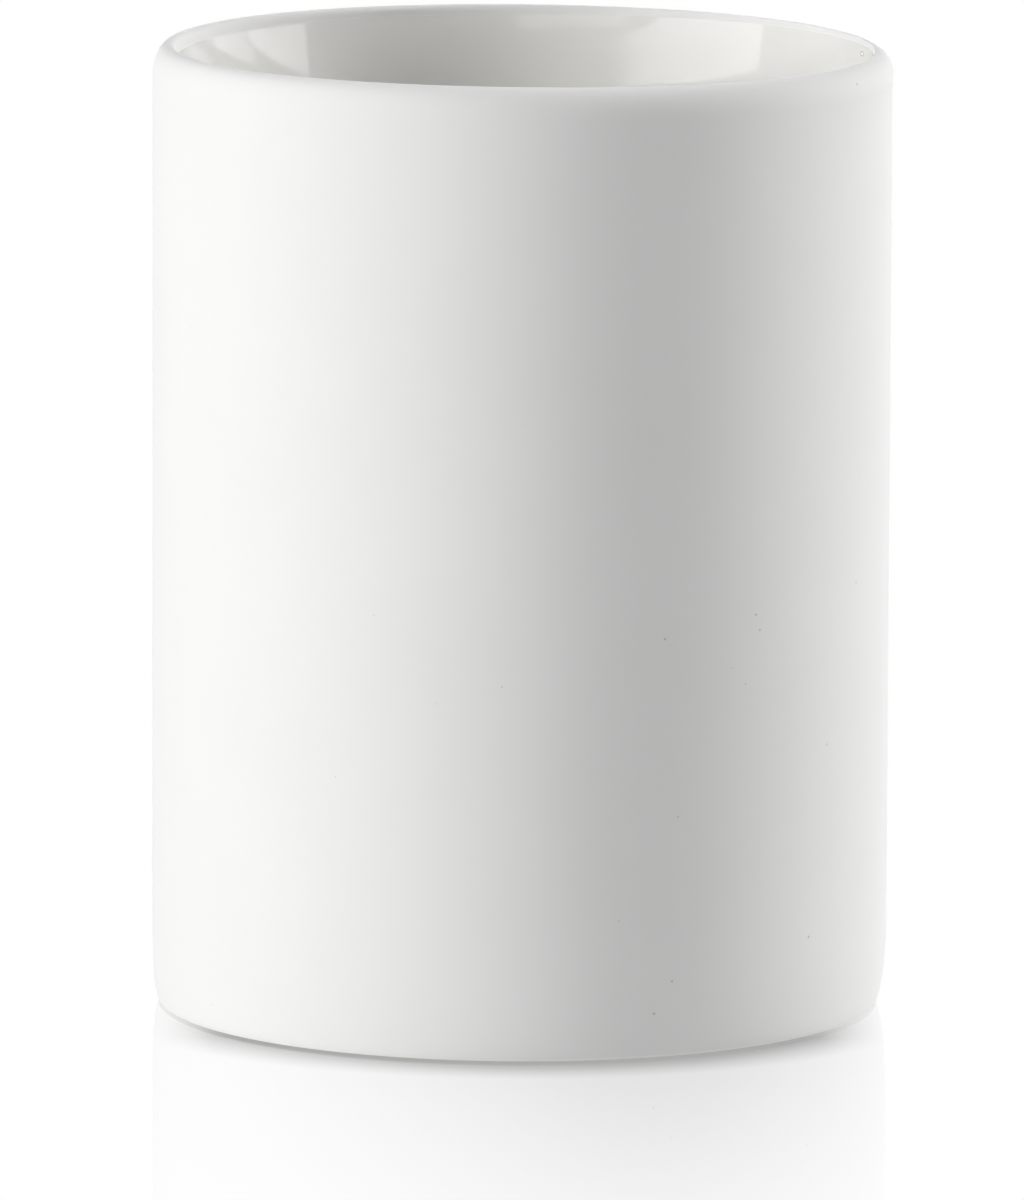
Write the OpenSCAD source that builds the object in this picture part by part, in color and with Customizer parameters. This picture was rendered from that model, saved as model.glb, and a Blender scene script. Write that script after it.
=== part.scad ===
// Round bathroom tumbler: a cast ceramic cup with a thin lip, glazed glossy inside and coated matt
// outside and over the rim, on an anti-slip pad. Millimetres, +Z up. The origin is the centre of the
// surface that it stands on.

/* [Cup] */
// Diameter over the matt coat
cup_d = 80; // [60:1:110]
// Height of the rim above the surface that the cup stands on
cup_h = 104.6; // [60:0.1:160]
// Thickness of the wall below the lip, with the coat and the glaze
wall_t = 4.5; // [4:0.1:7]
// Thickness of the cup's floor, from the pad's recess to the glazed inside
floor_t = 4.5; // [2:0.5:8]
// Radius where the inside wall turns into the inside floor
inside_corner_r = 8; // [2:0.5:15]

/* [Lip] */
// Width of the rim's soft outer round, from the crest to the outside
rim_out_w = 1.85; // [1:0.05:2.4]
// Height of the rim's soft outer round
rim_out_h = 3.5; // [1:0.1:6]
// Width of the rim's inner round, from the crest to the lip's inside
rim_in_w = 0.5; // [0.45:0.05:1]
// Height of the rim's inner round
rim_in_h = 1.3; // [0.8:0.1:2.5]
// Angle by which the inside of the lip leans outwards
lip_lean = 11.6; // [6:0.1:18]
// Height of the straight lean, from the inner round down to the long curve that ends upright
lip_flat_h = 1.3; // [1:0.1:5]

/* [Skins] */
// Thickness of the matt coat on the outside
coat_t = 0.2; // [0.1:0.05:0.4]
// How far the coat laps down the lip's inside, below the rim's inner round
coat_lap_h = 0.35; // [0.05:0.05:1]
// Thickness of the glossy glaze on the inside
glaze_t = 0.3; // [0.1:0.05:0.4]
// Height of bare ceramic left between the foot ring's face and the coat
bare_line_h = 0.25; // [0.1:0.05:1]

/* [Foot] */
// Height over which the outside draws in towards the foot
foot_draw_h = 9.5; // [3:0.5:20]
// How far the outside draws in over that height
foot_draw_w = 1.05; // [0.6:0.05:2.5]
// Width of the foot ring's flat face
foot_land_w = 4; // [2:0.5:8]
// Depth of the recess inside the foot ring
recess_h = 1.2; // [0.8:0.1:1.3]
// How far the recess's side leans inwards over its depth
recess_draft = 0.6; // [0:0.1:1.5]

/* [Pad] */
// Thickness of the anti-slip pad
pad_t = 1.3; // [1.3:0.1:3]
// Thickness of the adhesive film between the pad and the cup
film_t = 0.1; // [0.05:0.05:0.3]
// Gap between the pad's edge and the top of the recess's side
pad_gap = 1.2; // [0.3:0.1:3]
// How far the adhesive film stays back from the pad's edge
film_setback = 1; // [0:0.1:3]
// Chamfer round the pad's lower edge
pad_chamfer = 0.3; // [0.1:0.1:0.6]
// Number of ring grooves in the pad's grip face
groove_count = 4; // [1:1:6]
// Width of a grip groove
groove_w = 1.2; // [0.6:0.1:2]
// Depth of a grip groove
groove_h = 0.4; // [0.2:0.1:0.8]
// Distance from one grip groove to the next
groove_pitch = 5; // [3:0.5:5]

/* [Hidden] */
$fn = 180;

// Steps in each arc of a turned outline, and in the short arc of the bare line
arc_steps = 14;
bare_steps = 4;
// How far a cut runs past the face that it opens
overrun = 0.5;

cup_r = cup_d / 2;

// The crest of the rim parts its outer round from its inner one, each a quarter of an ellipse
crest_r = cup_r - rim_out_w;
rim_out_centre = [crest_r, cup_h - rim_out_h];
rim_in_centre = [crest_r, cup_h - rim_in_h];

// The pad holds the foot ring just clear of the surface
foot_z = pad_t + film_t - recess_h;

// The outside draws in on a quarter of a tall ellipse, which ends level on the foot ring's face
draw_centre = [cup_r - foot_draw_w, foot_z + foot_draw_h];
coat_z = foot_z + bare_line_h;

land_r = draw_centre[0] - foot_land_w;
recess_z = foot_z + recess_h;
recess_top_r = land_r - recess_draft;

inside_r = cup_r - wall_t;
inside_z = recess_z + floor_t;

// Inside the lip, a straight lean joins the rim's inner round to the long curve that ends upright
lean_top = rim_in_centre + [rim_in_w * cos(lean_turn(0)), rim_in_h * sin(lean_turn(0))];
lap_end = lean_top - coat_lap_h * [tan(lip_lean), 1];
lean_foot = lean_top - lip_flat_h * [tan(lip_lean), 1];
lip_blend_r = (lean_foot[0] - inside_r) / (1 - cos(lip_lean));
blend_centre = [inside_r + lip_blend_r, lean_foot[1] - lip_blend_r * sin(lip_lean)];
corner_centre = [inside_r - inside_corner_r, inside_z + inside_corner_r];

pad_r = recess_top_r - pad_gap;
film_r = pad_r - film_setback;
groove_edge_r = pad_r - groove_pitch;

// Points of an elliptic arc of a width and a height from turn a to turn b, both ends included
function arc(centre, w, h, a, b, steps = arc_steps) = [
    for (i = [0 : steps])
        let (turn = a + (b - a) * i / steps)
        centre + [w * cos(turn), h * sin(turn)]
];

// The same arc without its first point, to follow on from another
function arc_on(centre, w, h, a, b) = [
    for (i = [1 : arc_steps]) arc(centre, w, h, a, b)[i]
];

// Turn at which the foot's draw-in, a depth under the coat's face, passes the coat's lower edge
function coat_turn(depth) = -asin((draw_centre[1] - coat_z) / (foot_draw_h - depth));

// Turn at which the rim's inner round, a depth under the coat's face, runs on into the leaning lip
function lean_turn(depth) = 180 - atan(tan(lip_lean) * (rim_in_h - depth) / (rim_in_w - depth));

// Point on the leaning lip where the coat ends and the glaze starts, or the one a depth under it
function lap(depth) = [lap_end + depth * [cos(lip_lean), -sin(lip_lean)]];

// The coat's face from its lower edge over the rim to its end inside, or the face a depth under it
function outside(depth) = concat(
    arc(draw_centre, foot_draw_w - depth, foot_draw_h - depth, coat_turn(depth), 0),
    arc(rim_out_centre, rim_out_w - depth, rim_out_h - depth, 0, 90),
    arc_on(rim_in_centre, rim_in_w - depth, rim_in_h - depth, 90, lean_turn(depth)),
    lap(depth)
);

// The glaze's face from its upper edge to the centre of the floor, or the face a depth under it
function inside(depth) = concat(
    lap(depth),
    arc(blend_centre, lip_blend_r - depth, lip_blend_r - depth, 180 - lip_lean, 180),
    arc(corner_centre, inside_corner_r + depth, inside_corner_r + depth, 0, -90),
    [[0, inside_z - depth]]
);

// The list of points in the opposite order
function back(points) = [
    for (i = [len(points) - 1 : -1 : 0]) points[i]
];

// The cast cup: foot ring, drawn-in foot, straight outside, soft rim, leaning lip, round inside corner
module ceramic_body() {
    color("#f4f2ee")
    rotate_extrude()
    polygon(concat(
        [[0, recess_z], [recess_top_r, recess_z], [land_r, foot_z]],
        arc(draw_centre, foot_draw_w, foot_draw_h, -90, coat_turn(0), bare_steps),
        outside(coat_t),
        inside(glaze_t)
    ));
}

// Clear glossy glaze over the inside, from just below the rim down
module inner_glaze() {
    color("#e9e8e2")
    rotate_extrude()
    polygon(concat(inside(0), back(inside(glaze_t))));
}

// Matt coat over the rim and the outside, down to the bare line at the foot
module outer_coat() {
    color("#fbfbfa")
    rotate_extrude()
    polygon(concat(outside(0), back(outside(coat_t))));
}

// Soft disc in the foot's recess, with ring grooves in its grip face
module anti_slip_pad() {
    color("#d9dcdb")
    difference() {
        union() {
            cylinder(h = pad_chamfer, r1 = pad_r - pad_chamfer, r2 = pad_r);
            translate([0, 0, pad_chamfer])
            cylinder(h = pad_t - pad_chamfer, r = pad_r);
        }
        for (i = [0 : groove_count - 1])
            grip_groove(groove_edge_r - i * groove_pitch);
    }
}

// One ring groove, cut up from the surface that the pad stands on
module grip_groove(r) {
    translate([0, 0, -overrun])
    difference() {
        cylinder(h = groove_h + overrun, r = r);
        translate([0, 0, -overrun])
        cylinder(h = groove_h + 3 * overrun, r = r - groove_w);
    }
}

// Film that sticks the pad to the roof of the recess
module pad_adhesive() {
    color("#c9b98a")
    translate([0, 0, pad_t])
    cylinder(h = film_t, r = film_r);
}

ceramic_body();
inner_glaze();
outer_coat();
anti_slip_pad();
pad_adhesive();
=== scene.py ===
"""A white ceramic bathroom tumbler on a polished white floor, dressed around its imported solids. Metres."""

import math

import bmesh
import bpy
from mathutils import Matrix, Vector, noise


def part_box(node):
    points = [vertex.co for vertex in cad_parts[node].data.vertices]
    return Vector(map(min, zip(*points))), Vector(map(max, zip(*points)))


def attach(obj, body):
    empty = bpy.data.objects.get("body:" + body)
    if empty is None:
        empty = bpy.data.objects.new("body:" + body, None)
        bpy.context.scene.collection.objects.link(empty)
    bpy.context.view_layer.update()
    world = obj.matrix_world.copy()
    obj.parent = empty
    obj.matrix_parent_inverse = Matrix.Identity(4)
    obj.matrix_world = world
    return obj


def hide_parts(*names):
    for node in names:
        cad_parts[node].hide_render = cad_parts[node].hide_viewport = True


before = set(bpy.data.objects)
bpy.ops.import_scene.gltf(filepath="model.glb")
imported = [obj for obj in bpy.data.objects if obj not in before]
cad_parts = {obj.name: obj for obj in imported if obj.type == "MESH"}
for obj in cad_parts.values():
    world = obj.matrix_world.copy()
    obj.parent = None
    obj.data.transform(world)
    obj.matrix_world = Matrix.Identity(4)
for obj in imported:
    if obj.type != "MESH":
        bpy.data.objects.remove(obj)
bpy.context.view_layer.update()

MM = 0.001
DEG = math.pi / 180

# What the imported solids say
coat_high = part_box("outer_coat")[1]
clay_low, clay_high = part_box("ceramic_body")
pad_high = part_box("anti_slip_pad")[1]
film_low, film_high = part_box("pad_adhesive")
CUP_R = coat_high.x
CUP_H = coat_high.z
FOOT_Z = clay_low.z
COAT_T = CUP_R - clay_high.x
PAD_R = pad_high.x
PAD_H = pad_high.z

# Sizes of the cup that its boxes don't tell
WALL_T = 4.5 * MM
FLOOR_T = 4.5 * MM
RIM_OUT_W = 1.85 * MM
RIM_OUT_H = 3.5 * MM
RIM_IN_W = 0.5 * MM
RIM_IN_H = 1.3 * MM
LIP_LEAN = 11.6 * DEG
LIP_FLAT_H = 1.3 * MM
INSIDE_CORNER_R = 8 * MM
GLAZE_T = 0.3 * MM
COAT_LAP_H = 0.35 * MM
FOOT_DRAW_H = 9.5 * MM
FOOT_DRAW_W = 1.05 * MM
FOOT_LAND_W = 4 * MM
BARE_LINE_H = 0.25 * MM
RECESS_H = 1.2 * MM
RECESS_DRAFT = 0.6 * MM

# Sizes of the pad that its box doesn't tell
PAD_EDGE_R = 0.3 * MM
GROOVE_COUNT = 4
GROOVE_W = 1.2 * MM
GROOVE_H = 0.4 * MM
GROOVE_PITCH = 5 * MM
GROOVE_BEVEL = GROOVE_H / 4

# Slope of the fired cup's rim to the right, and that of the coat's end inside it, against the rim's.
# The second dies out over a height below the coat's end.
RIM_TILT = -0.0069
LAP_TILT = 0.0118
LAP_TILT_REACH = 12 * MM

# The fired rim rises by the sum of these at the front, and by the first less the second at the back. It
# sinks by the first at the sides.
RIM_WAVE = 0.07 * MM
RIM_WAVE_FRONT = 0.105 * MM

# How much fuller the rim's outer round is at the right, and how fast that dies out to the sides of it
RIM_FULLNESS = 0.24 * MM
RIM_FULLNESS_POWER = 4

# How far the bore and the foot's lowest edge are off centre to the right, and how that of the foot dies
# out upwards
BORE_SHIFT = 0.31 * MM
FOOT_SHIFT = -0.225 * MM
FOOT_SHIFT_H = 8 * MM
FOOT_SHIFT_POWER = 1.5

# How far the wall is out of round, and over what length
WARP = 0.03 * MM
WARP_LENGTH = 45 * MM

# Specks that the photograph shows in the coat: azimuth from the camera's side in degrees, height and
# radius in millimetres
SPECKS = (
    (51, 11.4, 0.2), (38.9, 47.4, 0.17), (21.3, 5.1, 0.2), (55.5, 32, 0.15), (24.1, 8.5, 0.17),
    (22.6, 45.6, 0.17), (63.9, 103, 0.2), (39.7, 45.7, 0.17), (25, 26.3, 0.12), (64.4, 48.8, 0.15),
    (37, 40, 0.11), (-2.8, 40.8, 0.1),
)
SPECK_DARKNESS = 0.5
SPECK_CORE_SHARE = 1 / 3

# Fainter specks all round, about one to a cell of the coat
FAINT_SPECK_CELL = 6 * MM
FAINT_SPECK_R = 0.13 * MM
FAINT_SPECK_DARKNESS = 0.22
FAINT_SPECK_CORE_SHARE = 1 / 2

# One glint on the glaze inside the rim at the right, painted into its colour: its place, half its height,
# and half its length round the cup. Its painted highlight in the middle and the painted shade in a ring
# round it each end between two shares of that size.
GLINT_AZIMUTH = 102.7 * DEG
GLINT_DEPTH = 1.9 * MM
GLINT_R = 0.3 * MM
GLINT_REACH = 1 * MM
GLINT_HIGHLIGHT_SHARES = (0.5, 0.65)
GLINT_SHADE_SHARES = (0.8, 1)

# Fineness of the turned meshes
AROUND = 288
UPRIGHT_STEPS = 40
ARC_STEPS = 24
EDGE_STEPS = 10

# The photograph's size in pixels, and its camera: place from the cup's mid-height with angles in radians,
# lens, and where the mid-height shows
IMAGE_W = 1024
IMAGE_H = 1200
CAMERA_DISTANCE = 1750 * MM
CAMERA_ELEVATION = 0.1502
CAMERA_ROLL = 0.0039
FOCAL_PX = 16118
MIDDLE_PX = Vector((520.87, 523.92))
SENSOR = 36

# The lamps' distance from the middle of the cup
LAMP_DISTANCE = 4

# The polished floor: its mirror image, which fades out away from the cup, and what stray light sees
FLOOR_SIZE = 6
FLOOR_GLOSS = 1.14
FLOOR_GLOSS_END = 181 * MM
FLOOR_IOR = 1.8
FLOOR_ROUGHNESS = 0.03
FLOOR_BOUNCE = 0.2
FLOOR_GLOW = 0.47

# The shade on the floor close to the foot. It is kept to the front, where it starts at one Y and is full at
# the next, and it fades at the sides from an X on. At the foot the floor is open to this share of the sky.
CONTACT_REACH = 9 * MM
CONTACT_SHADE = 0.32
CONTACT_FROM_Y = -0.2 * CUP_R
CONTACT_FULL_Y = -0.6 * CUP_R
CONTACT_SIDE_X = 0.82 * CUP_R
CONTACT_OPEN_SHARE = 0.5

WHITE = (1, 1, 1, 1)


# Turned outlines

def arc(centre, width, height, start, end, steps):
    """Points of an elliptic arc in the outline's plane, both ends included."""
    turns = [start + (end - start) * i / steps for i in range(steps + 1)]
    return [(centre[0] + width * math.cos(t), centre[1] + height * math.sin(t)) for t in turns]


def line(start, end, steps):
    """Points of a straight stretch, without its two ends."""
    shares = [i / steps for i in range(1, steps)]
    return [tuple(a + (b - a) * s for a, b in zip(start, end)) for s in shares]


def coat_turn(depth):
    """Turn at which the foot's draw-in, a depth under the coat's face, passes the coat's lower edge."""
    return -math.asin((FOOT_DRAW_H - BARE_LINE_H) / (FOOT_DRAW_H - depth))


def lean_turn(depth):
    """Turn at which the rim's inner round, a depth under the coat's face, runs on into the leaning lip."""
    return math.pi - math.atan(math.tan(LIP_LEAN) * (RIM_IN_H - depth) / (RIM_IN_W - depth))


crest_r = CUP_R - RIM_OUT_W
rim_out_centre = (crest_r, CUP_H - RIM_OUT_H)
rim_in_centre = (crest_r, CUP_H - RIM_IN_H)
draw_centre = (CUP_R - FOOT_DRAW_W, FOOT_Z + FOOT_DRAW_H)
land_r = draw_centre[0] - FOOT_LAND_W
recess_z = FOOT_Z + RECESS_H
recess_top_r = land_r - RECESS_DRAFT
inside_r = CUP_R - WALL_T
inside_z = recess_z + FLOOR_T
lean_top_r = crest_r + RIM_IN_W * math.cos(lean_turn(0))
lean_top_z = rim_in_centre[1] + RIM_IN_H * math.sin(lean_turn(0))
lean_foot_r = lean_top_r - LIP_FLAT_H * math.tan(LIP_LEAN)
lean_foot_z = lean_top_z - LIP_FLAT_H
lip_blend_r = (lean_foot_r - inside_r) / (1 - math.cos(LIP_LEAN))
blend_centre = (inside_r + lip_blend_r, lean_foot_z - lip_blend_r * math.sin(LIP_LEAN))
corner_centre = (inside_r - INSIDE_CORNER_R, inside_z + INSIDE_CORNER_R)
lap_r = lean_top_r - COAT_LAP_H * math.tan(LIP_LEAN)
lap_z = lean_top_z - COAT_LAP_H


def wall_r(height):
    """Radius of the coat's face at a height between the foot and the crest."""
    drawn = max(0.0, draw_centre[1] - height) / FOOT_DRAW_H
    rounded = max(0.0, height - rim_out_centre[1]) / RIM_OUT_H
    foot_in = FOOT_DRAW_W * (1 - math.sqrt(1 - drawn ** 2))
    rim_in = RIM_OUT_W * (1 - math.sqrt(1 - rounded ** 2))
    return CUP_R - foot_in - rim_in


def lap(depth):
    """Point on the leaning lip where the coat ends and the glaze starts, or the one a depth under it."""
    return lap_r + depth * math.cos(LIP_LEAN), lap_z - depth * math.sin(LIP_LEAN)


def outside(depth):
    """The coat's face from its lower edge over the rim to its end inside, or the face a depth under it."""
    foot = arc(draw_centre, FOOT_DRAW_W - depth, FOOT_DRAW_H - depth, coat_turn(depth), 0, ARC_STEPS)
    crest = arc(rim_out_centre, RIM_OUT_W - depth, RIM_OUT_H - depth, 0, math.pi / 2, ARC_STEPS)
    inner = arc(rim_in_centre, RIM_IN_W - depth, RIM_IN_H - depth, math.pi / 2, lean_turn(depth), ARC_STEPS)
    return foot + line(foot[-1], crest[0], UPRIGHT_STEPS) + crest + inner[1:] + [lap(depth)]


def inside(depth):
    """The glaze's face from its upper edge to the centre of the floor, or the face a depth under it."""
    blend_r = lip_blend_r - depth
    blend = arc(blend_centre, blend_r, blend_r, math.pi - LIP_LEAN, math.pi, ARC_STEPS)
    corner_r = INSIDE_CORNER_R + depth
    corner = arc(corner_centre, corner_r, corner_r, 0, -math.pi / 2, ARC_STEPS)
    middle = (0, inside_z - depth)
    return (
        [lap(depth)] + line(lap(depth), blend[0], EDGE_STEPS)
        + blend + line(blend[-1], corner[0], UPRIGHT_STEPS)
        + corner + line(corner[-1], middle, EDGE_STEPS) + [middle]
    )


def coat_outline():
    """The coat's face, then the one under it."""
    return outside(0) + outside(COAT_T)[::-1]


def glaze_outline():
    """The glaze's face, then the one under it."""
    return inside(0) + inside(GLAZE_T)[::-1]


def clay_outline():
    """Recess, foot ring, bare foot line, then the faces under the coat and under the glaze."""
    foot = [(0, recess_z), (recess_top_r, recess_z), (land_r, FOOT_Z)]
    bare = arc(draw_centre, FOOT_DRAW_W, FOOT_DRAW_H, -math.pi / 2, coat_turn(0), EDGE_STEPS)
    return foot + bare + outside(COAT_T) + inside(GLAZE_T)


def pad_outline():
    """Grip face with its ring grooves, rounded edge and flat top."""
    grip = [(0, 0)]
    for i in reversed(range(GROOVE_COUNT)):
        outer = PAD_R - GROOVE_PITCH * (i + 1)
        inner = outer - GROOVE_W
        roof = [(inner + GROOVE_BEVEL, GROOVE_H), (outer - GROOVE_BEVEL, GROOVE_H)]
        grip += [(inner, 0)] + roof + [(outer, 0)]
    edge = arc((PAD_R - PAD_EDGE_R, PAD_EDGE_R), PAD_EDGE_R, PAD_EDGE_R, -math.pi / 2, 0, EDGE_STEPS)
    return grip + edge + [(PAD_R, PAD_H), (0, PAD_H)]


def film_outline():
    """The film's flat box, from the axis out."""
    return [(0, film_low.z), (film_high.x, film_low.z), (film_high.x, film_high.z), (0, film_high.z)]


# The fired cup

def ease(value, start, end):
    """0 up to start, 1 from end on, and a soft step between them."""
    share = min(1.0, max(0.0, (value - start) / (end - start)))
    return share * share * (3 - 2 * share)


def lap_rise(x, radius, z):
    """How far the tilt of the coat's end lifts a place inside the rim."""
    inner = ease(-radius, -crest_r, -lap_r)
    near_lap = ease(-z, -CUP_H, -lap_z) * ease(z, lap_z - LAP_TILT_REACH, lap_z)
    return LAP_TILT * x * inner * near_lap


def rim_rise(across, along, z):
    """How far the rim's wave lifts a place, from its direction to the right and away from the camera."""
    wave = (RIM_WAVE - RIM_WAVE_FRONT * along) * (along ** 2 - across ** 2)
    return wave * ease(z, CUP_H / 2, CUP_H)


def rim_fullness(across, radius, z):
    """How far the fuller round at the right moves a place, most of all half way up the round."""
    up_round = min(1.0, max(0.0, (z - rim_out_centre[1]) / RIM_OUT_H))
    shoulder = 4 * up_round * (1 - up_round) * ease(radius, crest_r, crest_r + RIM_OUT_W / 2)
    return RIM_FULLNESS * max(0.0, across) ** RIM_FULLNESS_POWER * shoulder


def fired(x, y, z):
    """Where a point of a true cup lies in the fired one. The rim and the coat's end in it tilt a little,
    the rim stands higher at the front than elsewhere and has a fuller round at the right, the wall isn't
    quite round, and the bore and the foot are a little off centre."""
    height = max(0.0, z - FOOT_Z) / CUP_H
    radius = math.hypot(x, y)
    across, along = (x / radius, y / radius) if radius > 0 else (0, 0)
    swell = WARP * noise.noise(Vector((x, y, z)) / WARP_LENGTH) * height
    stretch = 1 + swell / CUP_R
    bore = BORE_SHIFT * ease(-radius, -crest_r, -crest_r + RIM_IN_W) * ease(z, recess_z, inside_z)
    foot = FOOT_SHIFT * max(0.0, 1 - (z - FOOT_Z) / FOOT_SHIFT_H) ** FOOT_SHIFT_POWER
    full = rim_fullness(across, radius, z)
    rise = RIM_TILT * x * height + lap_rise(x, radius, z) + rim_rise(across, along, z)
    return x * stretch + bore + foot + full, y * stretch, z + rise


def as_drawn(x, y, z):
    """Where a point of a true shape lies in one that stays true."""
    return x, y, z


# Meshes

def turn(name, outline, shape=as_drawn):
    """A closed solid of revolution from an outline in (radius, height), each point moved by shape."""
    points = []
    rings = []
    for radius, height in outline:
        around = AROUND if radius > 0 else 1
        rings.append(range(len(points), len(points) + around))
        for i in range(around):
            angle = 2 * math.pi * i / AROUND
            points.append(shape(radius * math.cos(angle), radius * math.sin(angle), height))
    faces = []
    for lower, upper in zip(rings, rings[1:] + rings[:1]):
        if len(lower) == 1 and len(upper) == 1:
            continue
        for i in range(AROUND):
            j = (i + 1) % AROUND
            corners = ((lower, i), (lower, j), (upper, j), (upper, i))
            faces.append(list(dict.fromkeys(ring[k % len(ring)] for ring, k in corners)))
    mesh = bpy.data.meshes.new(name)
    mesh.from_pydata(points, [], faces)
    smooth_with_sharp_edges(mesh)
    piece = bpy.data.objects.new(name, mesh)
    bpy.context.scene.collection.objects.link(piece)
    return piece


def smooth_with_sharp_edges(mesh, sharp=40 * DEG):
    """Turns the faces outwards and shades them smooth, but for the edges that bend more than an angle."""
    shape = bmesh.new()
    shape.from_mesh(mesh)
    bmesh.ops.recalc_face_normals(shape, faces=shape.faces)
    for face in shape.faces:
        face.smooth = True
    for edge in shape.edges:
        edge.smooth = edge.calc_face_angle(0) < sharp
    shape.to_mesh(mesh)
    shape.free()


# Nodes of materials and lamps

def plug(tree, socket, value):
    """Sets a socket to a value, or links another node's socket to it."""
    if isinstance(value, bpy.types.NodeSocket):
        tree.links.new(value, socket)
    else:
        socket.default_value = value


def feed(tree, made, **sockets):
    """Plugs a node's sockets, by their names."""
    for name, value in sockets.items():
        plug(tree, made.inputs[name.replace("_", " ")], value)


def node(tree, kind, settings=None, **sockets):
    """A node of a kind, with its settings and its sockets."""
    made = tree.nodes.new(kind)
    for key, value in (settings or {}).items():
        setattr(made, key, value)
    feed(tree, made, **sockets)
    return made


def math_node(tree, operation, a, b=0.0):
    """What an operation makes of one number or two."""
    made = node(tree, "ShaderNodeMath", {"operation": operation})
    for socket, value in zip(made.inputs, (a, b)):
        plug(tree, socket, value)
    return made.outputs[0]


def vector_node(tree, operation, vector, other=(0, 0, 0)):
    """What an operation makes of a vector, on its own or with a fixed one."""
    made = node(tree, "ShaderNodeVectorMath", {"operation": operation}, Vector=vector)
    made.inputs[1].default_value = other
    return made.outputs["Value" if operation == "LENGTH" else "Vector"]


def own_place(tree):
    """Each place on a surface, from the frame's origin."""
    coordinates = tree.nodes.get("Texture Coordinate") or node(tree, "ShaderNodeTexCoord")
    return coordinates.outputs["Object"]


def grain(tree, size, detail=2.0):
    """Noise whose features are about a size across."""
    made = node(tree, "ShaderNodeTexNoise", Vector=own_place(tree), Scale=1 / size, Detail=detail)
    return made.outputs["Fac"]


def spread(tree, value, low, high, start=0.3, end=0.7):
    """Low where the value is start or less, high where it is end or more, and even between. On its own it
    stretches the middle range of noise."""
    made = node(
        tree, "ShaderNodeMapRange", Value=value, From_Min=start, From_Max=end, To_Min=low, To_Max=high
    )
    return made.outputs["Result"]


def tint(tree, factor, first, second):
    """A mix of two colours, each a triple or another node's socket."""
    made = node(tree, "ShaderNodeMix", {"data_type": "RGBA"}, Factor=factor)
    for socket, colour in zip(made.inputs[6:8], (first, second)):
        plug(tree, socket, (*colour, 1) if isinstance(colour, tuple) else colour)
    return made.outputs[2]


def bump(tree, height, distance):
    """Unevenness from a height that counts for a distance."""
    return node(tree, "ShaderNodeBump", Height=height, Strength=1.0, Distance=distance).outputs["Normal"]


def mix_shader(tree, factor, first, second):
    """The first shader where the factor is 0, and the second where it is 1."""
    made = node(tree, "ShaderNodeMixShader")
    for socket, value in zip(made.inputs, (factor, first, second)):
        plug(tree, socket, value)
    return made.outputs[0]


def seen_directly(tree):
    """1 for rays from the camera and for those that gloss or glass sends on, else 0."""
    path = node(tree, "ShaderNodeLightPath").outputs
    mirrored = math_node(tree, "MAXIMUM", path["Is Glossy Ray"], path["Is Transmission Ray"])
    return math_node(tree, "MAXIMUM", path["Is Camera Ray"], mirrored)


# Materials of the tumbler

def material(name, **sockets):
    """A Principled material, its tree and its shader, with some sockets set."""
    made = bpy.data.materials.new(name)
    made.use_nodes = True
    shader = made.node_tree.nodes["Principled BSDF"]
    feed(made.node_tree, shader, **sockets)
    return made, made.node_tree, shader


def distance_from(tree, azimuth, radius, height, depth_share=1):
    """Distance of each place from a point that a true cup has at an azimuth, a radius and a height. From
    front to back, only a share of it counts."""
    point = fired(radius * math.sin(azimuth), -radius * math.cos(azimuth), height)
    offset = vector_node(tree, "SUBTRACT", own_place(tree), point)
    return vector_node(tree, "LENGTH", vector_node(tree, "MULTIPLY", offset, (1, depth_share, 1)))


def specks(tree):
    """How dark the coat's specks make each place: those of the photograph, and fainter ones all round."""
    cells = node(tree, "ShaderNodeTexVoronoi", Vector=own_place(tree), Scale=1 / FAINT_SPECK_CELL)
    edge = FAINT_SPECK_R / FAINT_SPECK_CELL
    core = edge * FAINT_SPECK_CORE_SHARE
    dark = spread(tree, cells.outputs["Distance"], FAINT_SPECK_DARKNESS, 0.0, core, edge)
    for azimuth, height, radius in SPECKS:
        away = distance_from(tree, azimuth * DEG, wall_r(height * MM), height * MM)
        core = radius * MM * SPECK_CORE_SHARE
        speck = spread(tree, away, SPECK_DARKNESS, 0.0, core, radius * MM)
        dark = math_node(tree, "MAXIMUM", dark, speck)
    return dark


def matt_coat():
    """Fine dry white, with a faint mottle and specks."""
    made, tree, shader = material("matt coat", IOR=1.4)
    mottle = spread(tree, grain(tree, 14 * MM, detail=3.0), 0, 1)
    clean = tint(tree, mottle, (0.869, 0.867, 0.862), (0.882, 0.879, 0.875))
    colour = tint(tree, specks(tree), clean, (0.28, 0.26, 0.24))
    roughness = spread(tree, grain(tree, 0.6 * MM), 0.84, 0.92)
    fine = bump(tree, grain(tree, 0.12 * MM, detail=1.0), 0.002 * MM)
    coarse = bump(tree, grain(tree, 0.7 * MM), 0.003 * MM)
    tree.links.new(fine, coarse.node.inputs["Normal"])
    feed(tree, shader, Base_Color=colour, Roughness=roughness, Normal=coarse)
    return made


def with_painted_glint(tree, clean):
    """The glaze's colour, with the painted highlight in the middle of its one glint and the painted shade in
    a ring round it.
    """
    radius = lean_top_r - (GLINT_DEPTH - CUP_H + lean_top_z) * math.tan(LIP_LEAN)
    away = distance_from(tree, GLINT_AZIMUTH, radius, CUP_H - GLINT_DEPTH, GLINT_R / GLINT_REACH)
    # Painted shade in a ring, and a painted highlight in its middle, where a lamp would glint on a small
    # bump
    ring = spread(tree, away, 1, 0, *(share * GLINT_R for share in GLINT_SHADE_SHARES))
    middle = spread(tree, away, 1, 0, *(share * GLINT_R for share in GLINT_HIGHLIGHT_SHARES))
    return tint(tree, middle, tint(tree, ring, clean, (0.4, 0.39, 0.38)), (1, 1, 1))


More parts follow.
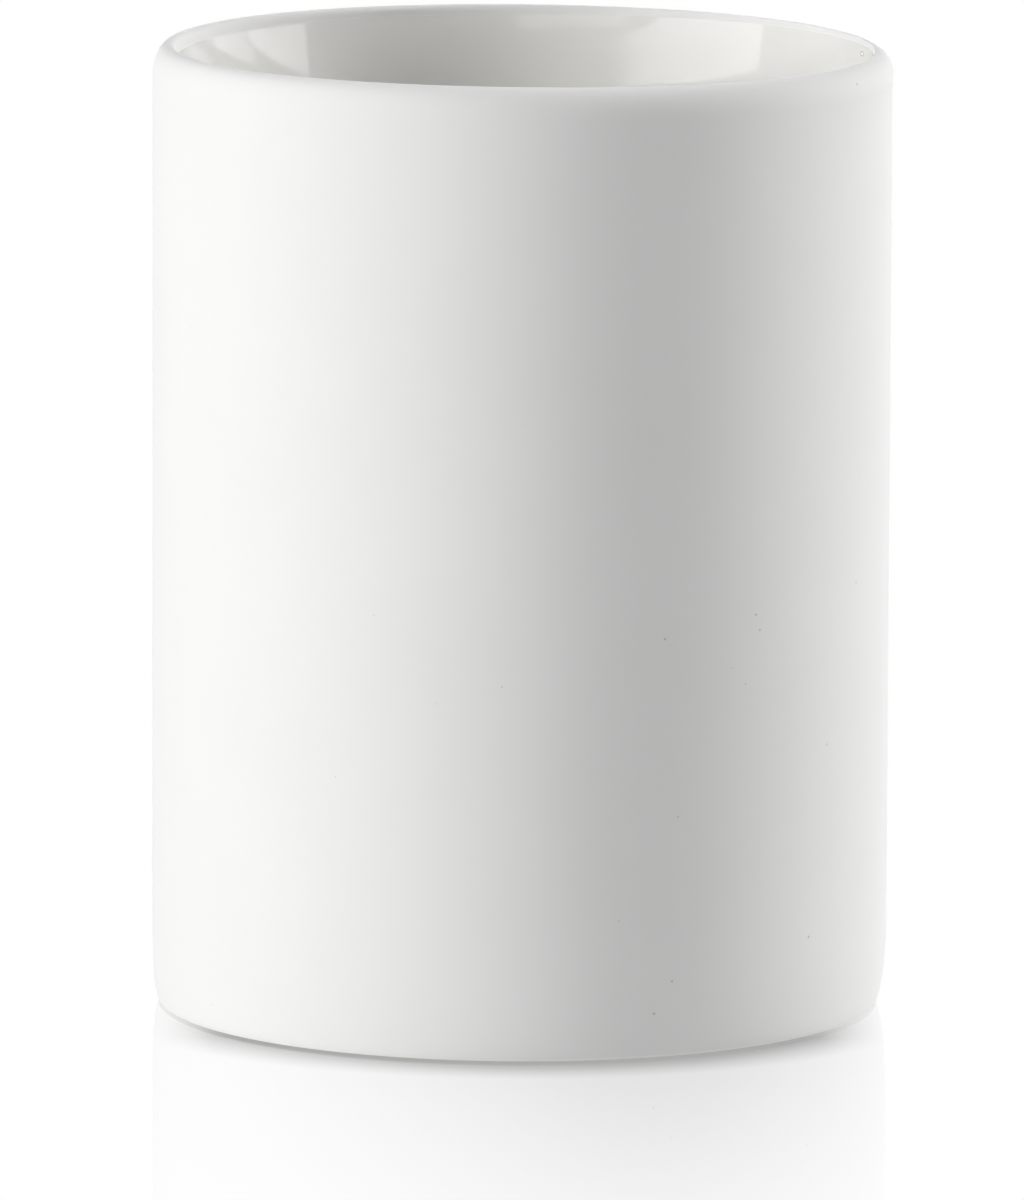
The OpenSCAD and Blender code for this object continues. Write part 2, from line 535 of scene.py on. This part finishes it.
def gloss_glaze():
    """Clear glossy glaze over the cup's warm white."""
    made, tree, shader = material("gloss glaze", IOR=1.52)
    pooled = spread(tree, grain(tree, 9 * MM), 0, 1)
    clean = tint(tree, pooled, (0.832, 0.826, 0.803), (0.843, 0.837, 0.816))
    roughness = spread(tree, grain(tree, 5 * MM), 0.03, 0.07)
    normal = bump(tree, grain(tree, 4 * MM, detail=1.0), 0.01 * MM)
    # The base colour carries the painted highlight and painted shade ring of the one glint inside the rim
    feed(tree, shader, Base_Color=with_painted_glint(tree, clean), Roughness=roughness, Normal=normal)
    return made


def bare_clay():
    """Pale fired clay with a fine tooth."""
    made, tree, shader = material("bare clay", IOR=1.45)
    mottle = spread(tree, grain(tree, 1.5 * MM, detail=4.0), 0, 1)
    colour = tint(tree, mottle, (0.925, 0.915, 0.895), (0.95, 0.945, 0.93))
    roughness = spread(tree, grain(tree, 0.5 * MM), 0.42, 0.58)
    normal = bump(tree, grain(tree, 0.25 * MM, detail=3.0), 0.02 * MM)
    feed(tree, shader, Base_Color=colour, Roughness=roughness, Normal=normal)
    return made


def frosted_silicone():
    """Cloudy grey silicone, which lets a little light in."""
    made, tree, shader = material("frosted silicone", IOR=1.41)
    feed(tree, shader, Subsurface_Weight=0.4, Subsurface_Scale=0.6 * MM)
    cloud = spread(tree, grain(tree, 6 * MM, detail=3.0), 0, 1)
    colour = tint(tree, cloud, (0.66, 0.68, 0.675), (0.74, 0.76, 0.755))
    roughness = spread(tree, grain(tree, 0.8 * MM), 0.42, 0.58)
    normal = bump(tree, grain(tree, 0.3 * MM), 0.01 * MM)
    feed(tree, shader, Base_Color=colour, Roughness=roughness, Normal=normal)
    return made


def amber_film():
    """Streaky amber adhesive."""
    made, tree, shader = material("amber film", IOR=1.48)
    streak = spread(tree, grain(tree, 3 * MM, detail=3.0), 0, 1)
    colour = tint(tree, streak, (0.62, 0.53, 0.34), (0.72, 0.64, 0.46))
    roughness = spread(tree, grain(tree, 1 * MM), 0.25, 0.4)
    normal = bump(tree, grain(tree, 0.8 * MM), 0.01 * MM)
    feed(tree, shader, Base_Color=colour, Roughness=roughness, Normal=normal)
    return made


# The tumbler

def dress(name, outline, node_name, finish, shape=as_drawn):
    """Turns a piece, gives it its finish, and lets it stand for its solid."""
    piece = turn(name, outline, shape)
    piece.data.materials.append(finish)
    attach(piece, "root")
    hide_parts(node_name)


dress("Tumbler_clay", clay_outline(), "ceramic_body", bare_clay(), fired)
dress("Tumbler_glaze", glaze_outline(), "inner_glaze", gloss_glaze(), fired)
dress("Tumbler_coat", coat_outline(), "outer_coat", matt_coat(), fired)
dress("Anti_slip_pad", pad_outline(), "anti_slip_pad", frosted_silicone())
dress("Pad_film", film_outline(), "pad_adhesive", amber_film())


# The camera

def aim(direction, roll=0.0):
    """A turn that points -Z along a direction, with X level but for the roll."""
    forward = direction.normalized()
    right = forward.cross(Vector((0, 0, 1))).normalized()
    up = right.cross(forward)
    x = right * math.cos(roll) + up * math.sin(roll)
    y = up * math.cos(roll) - right * math.sin(roll)
    return Matrix((x, y, -forward)).transposed()


def place_camera():
    """Sets the lens and place of the photograph's camera, which looks just below and left of mid-height."""
    middle = Vector((0, 0, CUP_H / 2))
    back = Vector((0, -math.cos(CAMERA_ELEVATION), math.sin(CAMERA_ELEVATION)))
    at_middle = aim(-back, CAMERA_ROLL)
    off = (MIDDLE_PX - Vector((IMAGE_W, IMAGE_H)) / 2) / FOCAL_PX
    ahead = at_middle @ Vector((-off.x, off.y, -1))
    lens = bpy.data.cameras.new("Camera")
    lens.sensor_width = SENSOR
    lens.lens = FOCAL_PX * SENSOR / IMAGE_H
    camera = bpy.data.objects.new("Camera", lens)
    camera.location = middle + back * CAMERA_DISTANCE
    camera.rotation_euler = aim(ahead, CAMERA_ROLL).to_euler()
    bpy.context.scene.collection.objects.link(camera)
    bpy.context.scene.camera = camera


# The floor and the backdrop

def mirror_share(tree):
    """How much of each place's look is a mirror image: less away from the cup, and more at a flat view."""
    away = vector_node(tree, "LENGTH", own_place(tree))
    fading = spread(tree, away, FLOOR_GLOSS, 0.0, CUP_R, FLOOR_GLOSS_END)
    return math_node(tree, "MULTIPLY", fading, node(tree, "ShaderNodeFresnel", IOR=FLOOR_IOR).outputs[0])


def contact_shade(tree):
    """How bright each place of the floor is seen: full, but for the shade in front of the foot."""
    place = node(tree, "ShaderNodeSeparateXYZ", Vector=own_place(tree))
    in_front = spread(tree, place.outputs["Y"], CONTACT_SHADE, 1.0, CONTACT_FULL_Y, CONTACT_FROM_Y)
    sideways = math_node(tree, "ABSOLUTE", place.outputs["X"])
    darkest = spread(tree, sideways, in_front, 1.0, CONTACT_SIDE_X, CUP_R)
    openness = node(tree, "ShaderNodeAmbientOcclusion", Distance=CONTACT_REACH).outputs["AO"]
    return spread(tree, openness, darkest, 1.0, CONTACT_OPEN_SHARE, 1.0)


def stray_light_floor(tree):
    """What matt surfaces see of the floor: a plain glow, and a little of the lamps' light."""
    lit = node(tree, "ShaderNodeBsdfDiffuse", Color=(FLOOR_BOUNCE, FLOOR_BOUNCE, FLOOR_BOUNCE, 1))
    glow = node(tree, "ShaderNodeEmission", Color=WHITE, Strength=FLOOR_GLOW)
    both = node(tree, "ShaderNodeAddShader")
    for socket, part in zip(both.inputs, (lit, glow)):
        tree.links.new(part.outputs[0], socket)
    return both.outputs[0]


def polished_floor():
    """White where it is seen, with a mirror image of the cup. Stray light sees a plain floor."""
    made = bpy.data.materials.new("polished floor")
    made.use_nodes = True
    tree = made.node_tree
    tree.nodes.clear()
    white = node(tree, "ShaderNodeEmission", Color=WHITE, Strength=contact_shade(tree)).outputs[0]
    mirror = node(tree, "ShaderNodeBsdfGlossy", Color=WHITE, Roughness=FLOOR_ROUGHNESS).outputs[0]
    seen = mix_shader(tree, mirror_share(tree), white, mirror)
    surface = mix_shader(tree, seen_directly(tree), stray_light_floor(tree), seen)
    node(tree, "ShaderNodeOutputMaterial", Surface=surface)
    return made


def lay_floor():
    """A square floor at the height that the cup stands on."""
    half = FLOOR_SIZE / 2
    corners = [(-half, -half, 0), (half, -half, 0), (half, half, 0), (-half, half, 0)]
    mesh = bpy.data.meshes.new("Floor")
    mesh.from_pydata(corners, [], [(0, 1, 2, 3)])
    mesh.materials.append(polished_floor())
    floor = bpy.data.objects.new("Floor", mesh)
    bpy.context.scene.collection.objects.link(floor)


def hang_backdrop():
    """A world that is white where it is seen, and gives the matt surfaces no light."""
    world = bpy.data.worlds.new("Backdrop")
    world.use_nodes = True
    bpy.context.scene.world = world
    tree = world.node_tree
    feed(tree, tree.nodes["Background"], Color=WHITE, Strength=seen_directly(tree))


# The lamps

def fade_out(lamp, first, last, upright):
    """Dims a lamp's face towards its first side, its last side, and its top and bottom, over a share of its
    half width or half height."""
    lamp.use_nodes = True
    tree = lamp.node_tree
    face = node(tree, "ShaderNodeNewGeometry").outputs["Parametric"]
    across, up = node(tree, "ShaderNodeSeparateXYZ", Vector=face).outputs[:2]
    from_last = math_node(tree, "SUBTRACT", 1.0, across)
    from_end = math_node(tree, "MINIMUM", up, math_node(tree, "SUBTRACT", 1.0, up))
    strength = 1.0
    for place, soft in ((across, first), (from_last, last), (from_end, upright)):
        fade = spread(tree, place, 0.0, 1.0, 0.0, soft / 2)
        fade.node.interpolation_type = "SMOOTHSTEP"
        strength = math_node(tree, "MULTIPLY", fade, strength)
    feed(tree, tree.nodes["Emission"], Strength=strength)


def softbox(name, azimuths, elevations, radiance, soft_edges):
    """A flat lamp that faces the cup and fills these angles, in degrees, as seen from it. Azimuth 0 is the
    camera's side, and it grows to the right. Soft edges are the shares that fade out, of the half width at
    its first and at its last azimuth, and of its half height."""
    azimuth, elevation = (sum(ends) / 2 * DEG for ends in (azimuths, elevations))
    half_width, half_height = ((ends[1] - ends[0]) / 2 * DEG for ends in (azimuths, elevations))
    lamp = bpy.data.lights.new(name, "AREA")
    lamp.shape = "RECTANGLE"
    lamp.size = 2 * LAMP_DISTANCE * math.tan(half_width) * math.cos(elevation)
    lamp.size_y = 2 * LAMP_DISTANCE * math.tan(half_height)
    lamp.energy = radiance * math.pi * lamp.size * lamp.size_y
    fade_out(lamp, *soft_edges)
    box = bpy.data.objects.new(name, lamp)
    level = Vector((math.sin(azimuth), -math.cos(azimuth), 0))
    out = level * math.cos(elevation) + Vector((0, 0, math.sin(elevation)))
    box.location = Vector((0, 0, CUP_H / 2)) + out * LAMP_DISTANCE
    box.rotation_euler = aim(-out).to_euler()
    box.visible_camera = False
    bpy.context.scene.collection.objects.link(box)


place_camera()
lay_floor()
hang_backdrop()
softbox("Key_left", (-86, -52), (15, 45), 9.3, (0.4, 0.4, 0.25))
softbox("Key_left_dim", (-88.5, -27), (8, 16), 2.3, (0.06, 0.6, 0.05))
softbox("Key_left_low", (-88.5, -27), (0.3, 8), 4.5, (0.06, 0.6, 0.05))
softbox("Key_right", (92, 126), (15, 45), 12.7, (0.4, 0.4, 0.25))
softbox("Key_right_dim", (79.5, 136), (8, 16), 2.4, (0.06, 0.4, 0.05))
softbox("Key_right_low", (104, 130), (0.3, 8), 1.1, (0.2, 0.3, 0.05))
softbox("Fill_front", (-40, 8), (16, 42), 1.2, (0.3, 0.3, 0.1))
softbox("Top", (-25, 25), (62, 89), 0.95, (0.4, 0.4, 0.4))

scene = bpy.context.scene
scene.view_settings.view_transform = "Standard"
